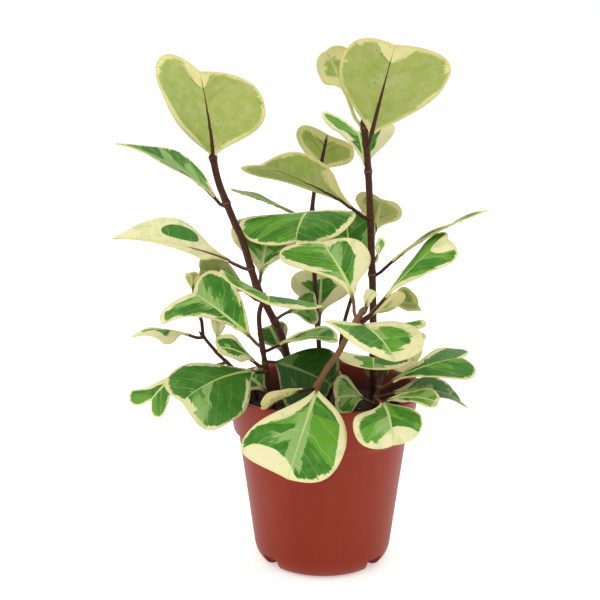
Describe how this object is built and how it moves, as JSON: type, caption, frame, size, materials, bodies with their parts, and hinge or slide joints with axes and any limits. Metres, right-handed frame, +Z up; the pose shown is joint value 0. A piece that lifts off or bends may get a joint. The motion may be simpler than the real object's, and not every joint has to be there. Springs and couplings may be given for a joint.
{
  "type": "potted mistletoe fig",
  "caption": "Small variegated mistletoe fig with wedge-shaped leaves on thin woody stems, rooted in soil in a round nursery pot.",
  "frame": {"origin": "middle of the pot's underside, on the flat pad that touches the ground", "axes": "+Z up the pot's axis, +X to the right and -Y towards the viewer as the plant is seen from its front"},
  "size_m": [0.2223, 0.1475, 0.3046],
  "materials": {
    "pot_plastic": "satin",
    "potting_mix": "matte",
    "stem_bark": "matte",
    "leaf_blade": "satin"
  },
  "bodies": {
    "root": {"leaf_back_1": "leaf_blade", "leaf_back_2": "leaf_blade", "leaf_back_3": "leaf_blade", "leaf_back_4": "leaf_blade", "leaf_back_right_1": "leaf_blade", "leaf_back_right_2": "leaf_blade", "leaf_back_right_3": "leaf_blade", "leaf_back_right_4": "leaf_blade", "leaf_back_right_5": "leaf_blade", "leaf_back_right_6": "leaf_blade", "leaf_back_right_7": "leaf_blade", "leaf_far_left_1": "leaf_blade", "leaf_far_left_2": "leaf_blade", "leaf_far_left_3": "leaf_blade", "leaf_far_left_4": "leaf_blade", "leaf_front_1": "leaf_blade", "leaf_front_2": "leaf_blade", "leaf_front_3": "leaf_blade", "leaf_front_4": "leaf_blade", "leaf_front_5": "leaf_blade", "leaf_front_6": "leaf_blade", "leaf_front_7": "leaf_blade", "leaf_front_right_1": "leaf_blade", "leaf_front_right_2": "leaf_blade", "leaf_front_right_3": "leaf_blade", "leaf_front_right_4": "leaf_blade", "leaf_front_right_5": "leaf_blade", "leaf_left_1": "leaf_blade", "leaf_left_2": "leaf_blade", "leaf_left_3": "leaf_blade", "leaf_left_4": "leaf_blade", "leaf_left_5": "leaf_blade", "leaf_left_6": "leaf_blade", "leaf_left_7": "leaf_blade", "leaf_left_short_1": "leaf_blade", "leaf_left_short_2": "leaf_blade", "leaf_left_short_3": "leaf_blade", "leaf_left_short_4": "leaf_blade", "leaf_left_short_5": "leaf_blade", "leaf_left_short_6": "leaf_blade", "leaf_left_short_7": "leaf_blade", "leaf_middle_1": "leaf_blade", "leaf_middle_2": "leaf_blade", "leaf_right_1": "leaf_blade", "leaf_right_2": "leaf_blade", "leaf_right_3": "leaf_blade", "leaf_right_4": "leaf_blade", "leaf_right_5": "leaf_blade", "leaf_right_6": "leaf_blade", "pot": "pot_plastic", "soil": "potting_mix", "stem_back": "stem_bark", "stem_back_right": "stem_bark", "stem_far_left": "stem_bark", "stem_front": "stem_bark", "stem_front_right": "stem_bark", "stem_left": "stem_bark", "stem_left_short": "stem_bark", "stem_middle": "stem_bark", "stem_right": "stem_bark"}
  },
  "joints": []
}
